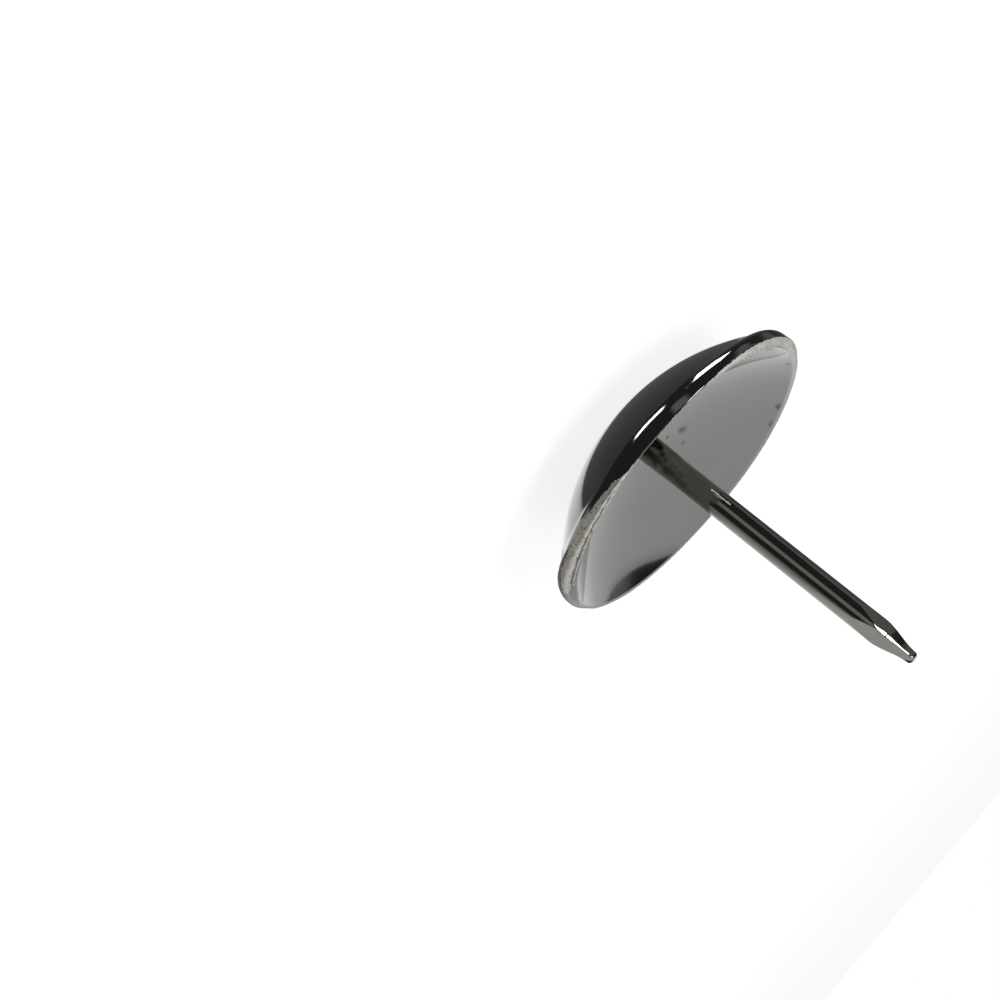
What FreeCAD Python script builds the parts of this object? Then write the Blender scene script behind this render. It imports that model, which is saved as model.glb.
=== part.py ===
import FreeCAD, Part
import math
import os
import Sketcher

# Domed upholstery tack: a hollow stamped steel head with a wire nail welded inside it.
# Frame: origin at the crown of the dome, +Z along the nail towards its point, millimetres.
# The tack stands on its dome with the point up, and one ridge of the point faces -Y.

# Driving dimensions, each written once: alias, value, what it measures
SIZES = [
    ("head_dia", "19.0", "outside diameter of the head at its rim"),
    ("head_height", "4.8", "crown of the dome to the plane of the rim"),
    ("crown_flat", "2.0", "diameter of the flat that the welding left on the crown"),
    ("crown_sheet", "0.7", "sheet thickness at the crown"),
    ("rim_height", "0.85", "crease under the dome to the plane of the rim"),
    ("rim_step", "0.3", "how far the rim stands out beyond the crease"),
    ("rim_round", "0.7", "radius of the bead between crease and rim wall"),
    ("rim_corner", "0.08", "rounding of the outer edge of the rim's face"),
    ("rim_face", "0.5", "width of the flat cut edge of the sheet"),
    ("nail_dia", "1.49", "diameter of the wire"),
    ("nail_length", "19.8", "inside of the crown to the end of the point"),
    ("root_dia", "1.64", "diameter of the gripped root of the wire, above its weld"),
    ("grip_dia", "1.56", "diameter at the upper end of the gripped root"),
    ("root_height", "2.9", "height of the gripped root above the inside of the crown"),
    ("root_taper", "0.25", "height over which the root comes down to the wire"),
    ("weld_dia", "2.1", "diameter of the weld's toe on the bowl"),
    ("weld_height", "0.5", "height of the weld's throat above the inside of the crown"),
    ("point_length", "3.8", "length of the pinched point"),
    ("point_end", "0.34", "distance across the flats at the end of the point"),
    ("ridge_relief", "0.03", "how far the point's ridges are rounded back"),
    ("end_round", "0.12", "rounding about the blunt end of the point"),
]
FACETS = 4
# How a sketch numbers the places on a line or an arc, and its own axes
START, END, CENTRE = range(1, 4)
HORIZONTAL_AXIS, VERTICAL_AXIS = range(-1, -3, -1)
ORIGIN = (HORIZONTAL_AXIS, START)
# Half the distance across the ridges of the point, at its end and where they leave the wire
RIDGE_END = "(sizes.point_end / sqrt(2) - sizes.ridge_relief)"
RIDGE_RUN = ("(sizes.point_length * ((sizes.nail_dia / 2 + sizes.ridge_relief) / sqrt(2) - sizes.point_end / 2)"
             " / (sizes.nail_dia / 2 - sizes.point_end / 2))")
BOWL_RADIUS = ("((sizes.head_dia / 2 - sizes.rim_face) ^ 2 + (sizes.head_height - sizes.crown_sheet) ^ 2)"
               " / (2 * (sizes.head_height - sizes.crown_sheet))")

size = {alias: float(value) for alias, value, note in SIZES}


def fill_sheet():
    sheet = doc.addObject("Spreadsheet::Sheet", "sizes")
    for row, (alias, value, note) in enumerate(SIZES, start=1):
        sheet.set(f"A{row}", alias)
        sheet.set(f"B{row}", value)
        sheet.set(f"C{row}", note)
        sheet.setAlias(f"B{row}", alias)
    doc.recompute()


def origin_feature(body, role):
    """One of the body's own origin planes or axes."""
    return next(part for part in body.Origin.OriginFeatures if part.Role == role)


def new_body(label):
    body = doc.addObject("PartDesign::Body", label)
    body.Label = label
    body.Placement = FreeCAD.Placement()
    return body


def upright_sketch(body, name, turn=0.0):
    """A sketch through the axis of the tack: across is the radius, up is +Z."""
    sketch = body.newObject("Sketcher::SketchObject", name)
    sketch.AttachmentSupport = [(origin_feature(body, "XZ_Plane"), "")]
    sketch.MapMode = "FlatFace"
    sketch.AttachmentOffset = FreeCAD.Placement(
        FreeCAD.Vector(), FreeCAD.Rotation(FreeCAD.Vector(0, 1, 0), turn))
    return sketch


def line(sketch, first, last):
    return sketch.addGeometry(Part.LineSegment(FreeCAD.Vector(*first, 0), FreeCAD.Vector(*last, 0)))


def arc(sketch, centre, first, last):
    """An arc that runs anticlockwise about its centre from first to last."""
    angles = [math.atan2(end[1] - centre[1], end[0] - centre[0]) % math.tau for end in (first, last)]
    circle = Part.Circle(FreeCAD.Vector(*centre, 0), FreeCAD.Vector(0, 0, 1), math.dist(centre, first))
    return sketch.addGeometry(Part.ArcOfCircle(circle, *angles))


def tie(sketch, kind, *places):
    sketch.addConstraint(Sketcher.Constraint(kind, *places))


def as_drawn(sketch, kind, places):
    """The size that the sketch's geometry has before the sheet drives it."""
    if kind == "Radius":
        return sketch.Geometry[places[0]].Radius
    first, last = sketch.getPoint(*places[:2]), sketch.getPoint(*places[2:])
    return (last - first).x if kind == "DistanceX" else (last - first).y


def bind(sketch, kind, name, places, expression):
    """A named dimension of the sketch that follows the sheet."""
    index = sketch.addConstraint(Sketcher.Constraint(kind, *places, as_drawn(sketch, kind, places)))
    sketch.renameConstraint(index, name)
    sketch.setExpression(f"Constraints.{name}", expression)


def revolve(body, sketch, name):
    turned = body.newObject("PartDesign::Revolution", name)
    turned.Profile = sketch
    turned.ReferenceAxis = (sketch, ["V_Axis"])
    turned.Angle = 360.0
    return turned


def bowl_centre():
    """Height of the centre of the sphere inside the bowl."""
    reach = size["head_dia"] / 2 - size["rim_face"]
    depth = size["head_height"] - size["crown_sheet"]
    return size["crown_sheet"] + (reach ** 2 + depth ** 2) / (2 * depth)


# Stamped head: a spherical dome flattened at its crown, a crease, a beaded rim wall, the flat cut
# edge of the sheet and the bowl inside
def make_domed_head():
    body = new_body("domed_head")
    sketch = upright_sketch(body, "head_section")
    rim = size["head_dia"] / 2
    top = size["head_height"]
    crown = (0.0, 0.0)
    flat_end = (size["crown_flat"] / 2, 0.0)
    inside = (0.0, size["crown_sheet"])
    crease = (rim - size["rim_step"], top - size["rim_height"])
    dome_centre = (0.0, (crease[0] ** 2 + crease[1] ** 2 - flat_end[0] ** 2) / (2 * crease[1]))
    bead_reach = size["rim_round"] - size["rim_step"]
    bead_centre = (rim - size["rim_round"], crease[1] + math.sqrt(size["rim_round"] ** 2 - bead_reach ** 2))
    wall = (rim, bead_centre[1])
    corner_centre = (rim - size["rim_corner"], top - size["rim_corner"])
    wall_end = (rim, corner_centre[1])
    face = (corner_centre[0], top)
    lip = (rim - size["rim_face"], top)

    crown_flat = line(sketch, crown, flat_end)
    dome = arc(sketch, dome_centre, flat_end, crease)
    bead = arc(sketch, bead_centre, crease, wall)
    rim_wall = line(sketch, wall, wall_end)
    corner = arc(sketch, corner_centre, wall_end, face)
    cut_edge = line(sketch, face, lip)
    bowl = arc(sketch, (0.0, bowl_centre()), inside, lip)
    axis = line(sketch, inside, crown)

    tie(sketch, "Coincident", crown_flat, START, *ORIGIN)
    tie(sketch, "Coincident", crown_flat, END, dome, START)
    tie(sketch, "Coincident", dome, END, bead, START)
    tie(sketch, "Tangent", bead, END, rim_wall, START)
    tie(sketch, "Tangent", rim_wall, END, corner, START)
    tie(sketch, "Tangent", corner, END, cut_edge, START)
    tie(sketch, "Coincident", cut_edge, END, bowl, END)
    tie(sketch, "Coincident", bowl, START, axis, START)
    tie(sketch, "Coincident", axis, END, crown_flat, START)
    tie(sketch, "PointOnObject", dome, CENTRE, VERTICAL_AXIS)
    tie(sketch, "PointOnObject", bowl, CENTRE, VERTICAL_AXIS)
    tie(sketch, "Vertical", axis)
    tie(sketch, "Vertical", rim_wall)
    tie(sketch, "Horizontal", cut_edge)
    tie(sketch, "Horizontal", crown_flat)
    bind(sketch, "DistanceX", "crown_radius", (*ORIGIN, crown_flat, END), "sizes.crown_flat / 2")
    bind(sketch, "DistanceX", "rim_radius", (*ORIGIN, rim_wall, START), "sizes.head_dia / 2")
    bind(sketch, "DistanceY", "height", (*ORIGIN, cut_edge, START), "sizes.head_height")
    bind(sketch, "DistanceX", "step", (dome, END, rim_wall, START), "sizes.rim_step")
    bind(sketch, "DistanceY", "wall_height", (dome, END, cut_edge, START), "sizes.rim_height")
    bind(sketch, "Radius", "bead_radius", (bead,), "sizes.rim_round")
    bind(sketch, "Radius", "corner_radius", (corner,), "sizes.rim_corner")
    bind(sketch, "DistanceX", "face_width", (cut_edge, END, rim_wall, START), "sizes.rim_face")
    bind(sketch, "DistanceY", "sheet_at_crown", (*ORIGIN, bowl, START), "sizes.crown_sheet")
    revolve(body, sketch, "stamped_head")
    return body


# Wire nail: a welded foot that fits the bowl, a gripped root, the round wire and a pinched point
def make_nail():
    body = new_body("nail")
    turn_wire(body)
    pinch_point(body)
    return body


def turn_wire(body):
    sketch = upright_sketch(body, "wire_section")
    seat = size["crown_sheet"]
    bowl_z = bowl_centre()
    bowl_radius = bowl_z - seat
    foot = (0.0, seat)
    toe_radius = size["weld_dia"] / 2
    toe = (toe_radius, bowl_z - math.sqrt(bowl_radius ** 2 - toe_radius ** 2))
    throat = (size["root_dia"] / 2, seat + size["weld_height"])
    spread = toe[0] - throat[0]
    weld_radius = (spread ** 2 + (throat[1] - toe[1]) ** 2) / (2 * spread)
    grip_end = (size["grip_dia"] / 2, seat + size["root_height"])
    wire_start = (size["nail_dia"] / 2, grip_end[1] + size["root_taper"])
    tip = (0.0, seat + size["nail_length"])
    wire_end = (wire_start[0], tip[1] - size["point_length"] / 2)
    ridge_end = (size["point_end"] / math.sqrt(2) - size["ridge_relief"], tip[1] - size["end_round"])
    nose_centre = (ridge_end[0] - size["end_round"], ridge_end[1])
    nose_end = (nose_centre[0], tip[1])

    seating = arc(sketch, (0.0, bowl_z), foot, toe)
    weld = arc(sketch, (throat[0] + weld_radius, throat[1]), throat, toe)
    root = line(sketch, throat, grip_end)
    taper = line(sketch, grip_end, wire_start)
    wire = line(sketch, wire_start, wire_end)
    ridge = line(sketch, wire_end, ridge_end)
    nose = arc(sketch, nose_centre, ridge_end, nose_end)
    end = line(sketch, nose_end, tip)
    axis = line(sketch, tip, foot)

    tie(sketch, "Coincident", seating, END, weld, END)
    tie(sketch, "Coincident", weld, START, root, START)
    tie(sketch, "Coincident", root, END, taper, START)
    tie(sketch, "Coincident", taper, END, wire, START)
    tie(sketch, "Coincident", wire, END, ridge, START)
    tie(sketch, "Coincident", ridge, END, nose, START)
    tie(sketch, "Tangent", nose, END, end, START)
    tie(sketch, "Coincident", end, END, axis, START)
    tie(sketch, "Coincident", axis, END, seating, START)
    tie(sketch, "PointOnObject", seating, CENTRE, VERTICAL_AXIS)
    tie(sketch, "PointOnObject", seating, START, VERTICAL_AXIS)
    tie(sketch, "Horizontal", weld, CENTRE, weld, START)
    tie(sketch, "Vertical", axis)
    tie(sketch, "Vertical", wire)
    tie(sketch, "Horizontal", end)
    bind(sketch, "DistanceY", "seat", (*ORIGIN, seating, START), "sizes.crown_sheet")
    bind(sketch, "Radius", "bowl_radius", (seating,), BOWL_RADIUS)
    bind(sketch, "DistanceX", "toe_radius", (*ORIGIN, seating, END), "sizes.weld_dia / 2")
    bind(sketch, "DistanceX", "root_radius", (*ORIGIN, root, START), "sizes.root_dia / 2")
    bind(sketch, "DistanceY", "throat", (seating, START, root, START), "sizes.weld_height")
    bind(sketch, "DistanceX", "grip_radius", (*ORIGIN, root, END), "sizes.grip_dia / 2")
    bind(sketch, "DistanceY", "grip", (seating, START, root, END), "sizes.root_height")
    bind(sketch, "DistanceY", "ease", (root, END, wire, START), "sizes.root_taper")
    bind(sketch, "DistanceX", "wire_radius", (*ORIGIN, wire, START), "sizes.nail_dia / 2")
    bind(sketch, "DistanceY", "length", (seating, START, end, START), "sizes.nail_length")
    bind(sketch, "DistanceY", "ridge_run", (ridge, START, end, START), RIDGE_RUN)
    bind(sketch, "DistanceX", "ridge_end", (*ORIGIN, ridge, END), RIDGE_END)
    bind(sketch, "Radius", "nose_radius", (nose,), "sizes.end_round")
    bind(sketch, "DistanceY", "nose_height", (ridge, END, end, START), "sizes.end_round")
    revolve(body, sketch, "round_wire")


def pinch_point(body):
    """Four flat facets pinched off the end of the wire, with rounded ridges and a blunt end."""
    sketch = upright_sketch(body, "facet_section", turn=180.0 / FACETS)
    tip_z = size["crown_sheet"] + size["nail_length"]
    shoulder = (size["nail_dia"] / 2, tip_z - size["point_length"])
    flat_end = (size["point_end"] / 2, tip_z)
    outside = (shoulder[0], tip_z)

    facet = line(sketch, shoulder, flat_end)
    across = line(sketch, flat_end, outside)
    side = line(sketch, outside, shoulder)

    tie(sketch, "Coincident", facet, END, across, START)
    tie(sketch, "Coincident", across, END, side, START)
    tie(sketch, "Coincident", side, END, facet, START)
    tie(sketch, "Horizontal", across)
    tie(sketch, "Vertical", side)
    bind(sketch, "DistanceX", "wire_radius", (*ORIGIN, facet, START), "sizes.nail_dia / 2")
    bind(sketch, "DistanceX", "end_radius", (*ORIGIN, facet, END), "sizes.point_end / 2")
    bind(sketch, "DistanceY", "tip", (*ORIGIN, facet, END), "sizes.crown_sheet + sizes.nail_length")
    bind(sketch, "DistanceY", "point", (facet, START, facet, END), "sizes.point_length")

    cut = body.newObject("PartDesign::Pocket", "facet")
    cut.Profile = sketch
    cut.Midplane = True
    cut.setExpression("Length", "sizes.nail_dia * 2")
    facets = body.newObject("PartDesign::PolarPattern", "four_facets")
    facets.Originals = [cut]
    facets.Axis = (origin_feature(body, "Z_Axis"), [""])
    facets.Angle = 360.0
    facets.Occurrences = FACETS
    body.Tip = facets


def check(bodies):
    """Stops before anything is written if a feature failed or a solid isn't sound."""
    for item in doc.Objects:
        if "Invalid" in item.State or "Error" in item.State:
            raise RuntimeError(f"{item.Label} failed: {item.State}")
        if item.isDerivedFrom("Sketcher::SketchObject") and item.solve() != 0:
            raise RuntimeError(f"{item.Label} has constraints that can't be met")
    for body in bodies:
        if body.Shape.isNull() or not body.Shape.isValid() or len(body.Shape.Solids) != 1:
            raise RuntimeError(f"{body.Label} isn't one sound solid")


doc = FreeCAD.newDocument("upholstery_tack")
fill_sheet()
pieces = [make_domed_head(), make_nail()]
doc.recompute()
check(pieces)
os.makedirs("parts", exist_ok=True)
for piece in pieces:
    piece.Shape.exportStep(f"parts/{piece.Label}.step")
    print(f"{piece.Label}: {piece.Shape.Volume:.2f} mm3")
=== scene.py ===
import math

import bpy
from mathutils import Matrix, Vector, noise


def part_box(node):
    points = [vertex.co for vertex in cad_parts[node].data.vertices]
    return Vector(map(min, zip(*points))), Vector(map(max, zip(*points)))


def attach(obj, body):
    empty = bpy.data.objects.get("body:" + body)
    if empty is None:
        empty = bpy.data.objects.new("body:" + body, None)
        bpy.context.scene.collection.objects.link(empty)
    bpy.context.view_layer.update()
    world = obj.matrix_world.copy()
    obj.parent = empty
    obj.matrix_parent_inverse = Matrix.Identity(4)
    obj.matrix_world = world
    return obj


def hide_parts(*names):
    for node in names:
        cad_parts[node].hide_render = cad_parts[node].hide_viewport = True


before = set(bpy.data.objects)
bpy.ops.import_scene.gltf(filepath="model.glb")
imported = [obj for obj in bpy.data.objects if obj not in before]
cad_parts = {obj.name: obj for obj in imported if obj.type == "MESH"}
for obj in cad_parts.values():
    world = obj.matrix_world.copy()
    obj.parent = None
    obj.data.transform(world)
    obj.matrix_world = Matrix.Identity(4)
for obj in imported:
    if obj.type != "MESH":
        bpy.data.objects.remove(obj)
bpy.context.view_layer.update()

MM = 0.001
DOWN, UP = Vector((0, 0, -1)), Vector((0, 0, 1))

# Sizes read from the frame
head_low, head_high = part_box("domed_head")
nail_low, nail_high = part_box("nail")
RIM_RADIUS = min(head_high.x, head_high.y, -head_low.x, -head_low.y)
HEAD_HEIGHT = head_high.z
TIP_HEIGHT = nail_high.z

# Section of the stamped head
CROWN_FLAT = 1.0 * MM
CROWN_SHEET = 0.7 * MM
RIM_HEIGHT = 0.85 * MM
RIM_STEP = 0.3 * MM
BEAD_ROUND = 0.7 * MM
LIP_ROUND = 0.06 * MM
LIP_DROP = 0.15 * LIP_ROUND
CREASE_RADIUS = RIM_RADIUS - RIM_STEP
CREASE_HEIGHT = HEAD_HEIGHT - RIM_HEIGHT
WALL_START = CREASE_HEIGHT + math.sqrt(BEAD_ROUND ** 2 - (BEAD_ROUND - RIM_STEP) ** 2)
# The section starts at this share of the crown's flat and ends at this angle on the bowl's sphere
CROWN_START = 0.3
BOWL_END = -88.5

# Columns round the head, rows of each stretch of its section, and distances of the rows just under the lip
HEAD_COLUMNS = 800
CROWN_ROWS, DOME_ROWS, BEAD_ROWS, WALL_ROWS = 2, 33, 20, 6
CORNER_ROWS, BURR_ROWS, FACE_ROWS, BOWL_ROWS = 7, 3, 15, 34
UNDER_LIP = (0.06, 0.08, 0.12, 0.2, 0.35, 0.6)
CREASE_ROW = CROWN_ROWS + DOME_ROWS
WALL_ROW = CREASE_ROW + BEAD_ROWS
FACE_ROW = WALL_ROW + WALL_ROWS + CORNER_ROWS + BURR_ROWS
LIP_ROW = FACE_ROW + FACE_ROWS
SECTION_ROWS = LIP_ROW + BOWL_ROWS + 1

# The stamping isn't true all round. Each list gives a rim measure in millimetres by azimuth in degrees
RIM_SAG = (
    (0, 0.30), (12, 0.27), (22, 0.2), (32, 0.08), (44, 0.02), (80, 0.03), (110, -0.04), (125, -0.06),
    (142, -0.04), (165, 0.0), (182, 0.14), (198, 0.26), (210, 0.2), (224, 0.06), (236, 0.0), (288, 0.0),
    (300, 0.04), (310, 0.10), (320, 0.16), (330, 0.26), (340, 0.36), (347, 0.37), (354, 0.33),
)
RIM_BURR = (
    (0, 0.0), (172, 0.0), (184, 0.14), (198, 0.22), (210, 0.17), (224, 0.05), (238, 0.06), (250, 0.16),
    (272, 0.17), (281, 0.1), (289, 0.02), (296, 0.0),
)
RIM_FACE = (
    (0, 0.42), (15, 0.3), (28, 0.2), (85, 0.2), (102, 0.34), (120, 0.4), (145, 0.42), (165, 0.5),
    (180, 0.58), (194, 0.74), (210, 0.8), (226, 0.78), (240, 0.68), (252, 0.5), (285, 0.52), (298, 0.66),
    (315, 0.72), (345, 0.66),
)
CORNER_ROUND = (
    (0, 0.14), (30, 0.08), (150, 0.08), (175, 0.08), (205, 0.06), (222, 0.08), (236, 0.07), (288, 0.07),
    (305, 0.14), (345, 0.2),
)
# How far the wall leans in towards the dome, in degrees
WALL_LEAN = ((0, 0.0), (238, 0.0), (252, 12.0), (288, 14.0), (302, 0.0))
BURR_BACK = 0.06 * MM

# Where the sheared metal lies bare, by azimuth. A place on the rim counts 0 to 1 over the bead, 1 to 2
# over the wall and its corner, and 2 to 3 over the cut face
TORN_START = (
    (0, 3.1), (170, 3.1), (178, 2.05), (210, 2.05), (240, 2.3), (250, 2.7), (256, 3.1), (274, 3.1),
    (280, 2.3), (285, 1.6), (289, 1.1), (295, 0.88), (302, 0.76), (315, 0.72), (330, 0.78), (340, 1.0),
    (347, 1.5), (354, 3.1),
)
TORN_END = (
    (0, 1.0), (172, 1.0), (180, 2.97), (248, 2.95), (258, 1.0), (270, 1.0), (278, 2.8), (290, 2.95),
    (325, 2.9), (340, 2.7), (350, 2.0),
)
GROOVE_PLACE = 2.45
GROOVE_WIDTH = 0.065 * MM
GROOVE_DEPTH = 0.06 * MM
GROOVE_WANDER = 0.9
GROOVE_SPAN = ((0, 0.0), (286, 0.0), (296, 1.0), (338, 1.0), (348, 0.0))
RAGGED_REACH = 0.1 * MM
RAGGED_GRAIN = 0.3 * MM
TORN_DEPTH = 0.022 * MM
TORN_STEP = 0.05 * MM
TORN_GRAIN = 0.2 * MM
# The distance past the tear line where the plating is whole
PLATED = -1 * MM
BURR_RAGGED = ((0, 0.012), (180, 0.012), (198, 0.04), (225, 0.06), (275, 0.07), (300, 0.03), (345, 0.012))
BURR_GRAIN = 0.2 * MM
NICK_MOST = 0.02 * MM
NICK_ROW = FACE_ROW - 2
NICK_REACH = 5

# The nail: welded foot, root held by the jaws, wire and pinched point
WIRE_RADIUS = 0.745 * MM
ROOT_RADIUS = 0.82 * MM
GRIP_RADIUS = 0.78 * MM
WELD_RADIUS = 1.05 * MM
WELD_THROAT = 1.2 * MM
ROOT_TOP = 3.3 * MM
ROOT_TAPER = 1.0 * MM
POINT_START = 16.7 * MM
NUB_RADIUS = 0.2 * MM
# A raised line that the jaws left along the wire, whose colour is a painted highlight
SCRAPE_LINE = math.radians(245)
SCRAPE_LOW, SCRAPE_HIGH = 6.2 * MM, 8.0 * MM
SCRAPE_HEIGHT = 0.012 * MM
SCRAPE_HALF_WIDTH = 0.05 * MM
SCRAPE_RISE, SCRAPE_FALL = 0.4 * MM, 0.3 * MM
SCRAPE_WANDER = 0.03 * MM
SCRAPE_BEND, SCRAPE_GRAIN = 0.5 * MM, 0.16 * MM
# Columns round the nail, and rows of flare, root, taper, wire, scraped line, wire and point, then of the nub
NAIL_COLUMNS = 192
NAIL_ROWS = (10, 24, 10, 12, 50, 42, 90)
NUB_ROWS = 12
# Distance of the four facets from the nail's axis, by height, both in millimetres
FACETS = (
    (16.7, 0.745), (17.4, 0.655), (18.0, 0.573), (18.55, 0.499), (18.8, 0.464), (19.05, 0.42),
    (19.3, 0.375), (19.55, 0.325), (19.8, 0.288), (20.05, 0.262), (20.3, 0.246), (20.5, 0.24),
)
RIDGE_SHARPNESS = 45.0
# Rounding between the wire and the facets
FACET_ROUND = 0.03 * MM
# One ridge is rubbed to a narrow wavy flat, given by its distance from the axis as a share of the facets'
RUBBED_SIDE = math.radians(252)
RUBBED_SHARE = (
    (16.7, 1.38), (17.6, 1.29), (18.1, 1.2), (18.6, 1.12), (19.0, 1.15), (19.5, 1.21), (20.1, 1.18),
)
RUBBED_WAVE = 0.035
RUBBED_GRAIN = 0.35 * MM

# Colours of the plating, each with its hazed shade, and of the marks, the painted highlights and the bare
# metal
BLACK_NICKEL, BLACK_NICKEL_HAZED = (0.2, 0.197, 0.19, 1), (0.17, 0.168, 0.163, 1)
BOWL_PLATING, BOWL_PLATING_HAZED = (0.19, 0.188, 0.182, 1), (0.17, 0.17, 0.165, 1)
WIRE_PLATING, WIRE_PLATING_HAZED = (0.21, 0.204, 0.18, 1), (0.17, 0.166, 0.146, 1)
BOWL_STAIN = (0.055, 0.057, 0.045, 1)
# Colour that darkens the groove
GROOVE_DARK = (0.05, 0.052, 0.035, 1)
# Colour of the darker mottling near the root
ROOT_CLOUD = (0.12, 0.118, 0.08, 1)
# Colour of the painted highlight on the root
ROOT_HIGHLIGHT = (0.34, 0.34, 0.31, 1)
# Colour of the dark marks on the root
ROOT_DARK_MARK = (0.03, 0.034, 0.022, 1)
# Painted highlight along the jaws' raised line on the wire
SCRAPE_HIGHLIGHT = (0.8, 0.78, 0.7, 1)
STEEL_LIGHT, STEEL_DARK = (0.54, 0.53, 0.49, 1), (0.2, 0.19, 0.14, 1)
STEEL_TAN, STEEL_ROSE = (0.36, 0.33, 0.22, 1), (0.6, 0.42, 0.4, 1)
WHITE = (1, 1, 1, 1)

# Stains and pits on the plating inside the bowl, and on the root dark marks and a spot of painted highlight:
# place and radius in millimetres
BOWL_STAINS = (
    ((-2.42, 3.76, 1.62), 0.42), ((-1.96, 4.68, 1.9), 0.2), ((-1.48, 3.45, 1.34), 0.2),
    ((-7.19, 5.42, 4.7), 0.36), ((-6.3, 6.52, 4.75), 0.34), ((-8.75, 1.23, 4.65), 0.3),
)
# Dark marks on the root, near the head
ROOT_DARK_MARKS = (((-0.3, -0.73, 2.68), 0.26), ((-0.11, -0.78, 3.05), 0.3), ((0.02, -0.79, 3.4), 0.2))
# A spot of painted highlight on the root
ROOT_HIGHLIGHT_SPOTS = (((0.5, -0.6, 3.35), 0.3),)
# The darker mottling near the root fades out between these heights
CLOUD_LOW, CLOUD_HIGH = 3.4 * MM, 7.6 * MM

# Camera, solved from the outline of the rim, the dome and the nail
CAMERA_PLACE = Vector((7.604, -85.293, 29.451)) * MM
CAMERA_DIP = math.radians(20.737)
CAMERA_ROLL = math.radians(130.297)
CAMERA_LENS = 57.43

# The reflecting studio stands on a white sheet that touches the point and the rim
SHEET_AZIMUTH = math.radians(30.0)
SHEET_TILT = math.atan2(RIM_RADIUS, TIP_HEIGHT - HEAD_HEIGHT)
RIM_CENTRE = Vector((0, 0, HEAD_HEIGHT))
SHEET_LEFT, SHEET_RIGHT, SHEET_NEAR, SHEET_FAR, SHEET_EDGE = (v * MM for v in (300, 130, -26, 400, 30))
# The near edge comes towards the camera on the right by this slant
EDGE_SLANT = 2.0
SHEET_GAP = 0.02 * MM
# The sheet's light: a halo round the object over a level that fades with distance, and the head's own shade
HALO_START, HALO_END, HALO_LEVEL = 18 * MM, 50 * MM, 0.2
FADE_START, FADE_END, NEAR_LEVEL, FAR_LEVEL = 60 * MM, 380 * MM, 0.76, 0.45
SHADE_PLACE = Vector((-15, 6, 0)) * MM
SHADE_SIZE = Vector((8.5, 9, 10)) * MM
SHADE_INSIDE, SHADE_OUTSIDE, SHADE_LEVEL = 0.95, 1.6, 0.2
ROOM_RADIUS = 620 * MM
ROOM_LEVEL, HORIZON_LEVEL = 0.045, 0.24
ROOM_RINGS, ROOM_COLUMNS = 16, 32
FLOOR_SIDE = 1500 * MM
FLOOR_GLOW = 0.84
WORLD_LIGHT = 0.35

# Cards that the metal mirrors: name, place, half sizes, strength and the share of the edge that fades
CARDS = (
    ("overhead_softbox", (-30, 150, 465), (132, 88), 12, 0.2),
    ("left_softbox", (-328, 68, 358), (100, 32), 12, 0.4),
    ("far_wall", (-160, 430, 150), (420, 300), 0.09, 0.3),
    ("right_wall", (330, 420, 250), (160, 160), 0.15, 0.6),
    ("right_ceiling", (270, 100, 360), (130, 170), 0.24, 0.35),
    ("near_window", (-194, -377, 270), (190, 150), 0.42, 0.6),
    ("left_ceiling", (-165, -100, 460), (80, 80), 0.3, 0.6),
    ("front_lamp", (198, -317, 332), (100, 85), 12, 0.3),
)
# Lamps for the floor and the bare steel: name, place and size in millimetres, and power
LAMPS = (("key_lamp", (-200, -260, 420), 180, 1.2), ("fill_lamp", (260, 120, 380), 240, 0.6))


# Small helpers for meshes

def smooth_step(low, high, value):
    """0 below low, 1 above high, with an even slope between."""
    share = min(max((value - low) / (high - low), 0.0), 1.0)
    return share * share * (3 - 2 * share)


def along(points, at, period=None):
    """Value at a place of a list of (place, value) points, on straight runs between them."""
    if period:
        at = at % period
        points = points + ((points[0][0] + period, points[0][1]),)
    if at <= points[0][0]:
        return points[0][1]
    for (low, first), (high, second) in zip(points, points[1:]):
        if at <= high:
            return first + (second - first) * (at - low) / (high - low)
    return points[-1][1]


def arc(centre, radius, start, end, steps):
    """Points on an arc of the section, without the first one. Angles in degrees from outward."""
    turns = [math.radians(start + (end - start) * k / steps) for k in range(1, steps + 1)]
    return [(centre[0] + radius * math.cos(a), centre[1] + radius * math.sin(a)) for a in turns]


def run(start, end, steps):
    """Points on a straight stretch of the section, without the first one."""
    return [(start[0] + (end[0] - start[0]) * k / steps, start[1] + (end[1] - start[1]) * k / steps)
            for k in range(1, steps + 1)]


def make_piece(name, vertices, faces):
    """A smooth-shaded mesh object of that name."""
    mesh = bpy.data.meshes.new(name)
    mesh.from_pydata(vertices, [], faces)
    mesh.polygons.foreach_set("use_smooth", [True] * len(mesh.polygons))
    mesh.update()
    piece = bpy.data.objects.new(name, mesh)
    bpy.context.scene.collection.objects.link(piece)
    return piece


def set_attribute(piece, name, values):
    """A number for each point of a piece, which its material reads."""
    piece.data.attributes.new(name, "FLOAT", "POINT").data.foreach_set("value", values)


def ring_faces(columns, rows):
    """Quads between neighbouring columns of a turned skin whose ends close on single points."""
    faces = []
    first_end = columns * rows
    for column in range(columns):
        here, there = column * rows, (column + 1) % columns * rows
        for row in range(rows - 1):
            faces.append((here + row, there + row, there + row + 1, here + row + 1))
        faces.append((first_end, there, here))
        faces.append((here + rows - 1, there + rows - 1, first_end + 1))
    return faces


# The stamped head

def rim_value(table, azimuth):
    """A measure of the rim at an azimuth, in metres."""
    return along(table, math.degrees(azimuth), 360) * MM


def dome_sphere():
    """Height of the centre and radius of the dome, from the edge of the crown's flat to the crease."""
    centre = (CREASE_RADIUS ** 2 + CREASE_HEIGHT ** 2 - CROWN_FLAT ** 2) / (2 * CREASE_HEIGHT)
    return centre, math.hypot(CROWN_FLAT, centre)


def slope_at(radius, sphere_radius):
    """Angle of a point on a sphere's lower half, by its distance from the axis."""
    return math.degrees(math.asin(radius / sphere_radius)) - 90


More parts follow.
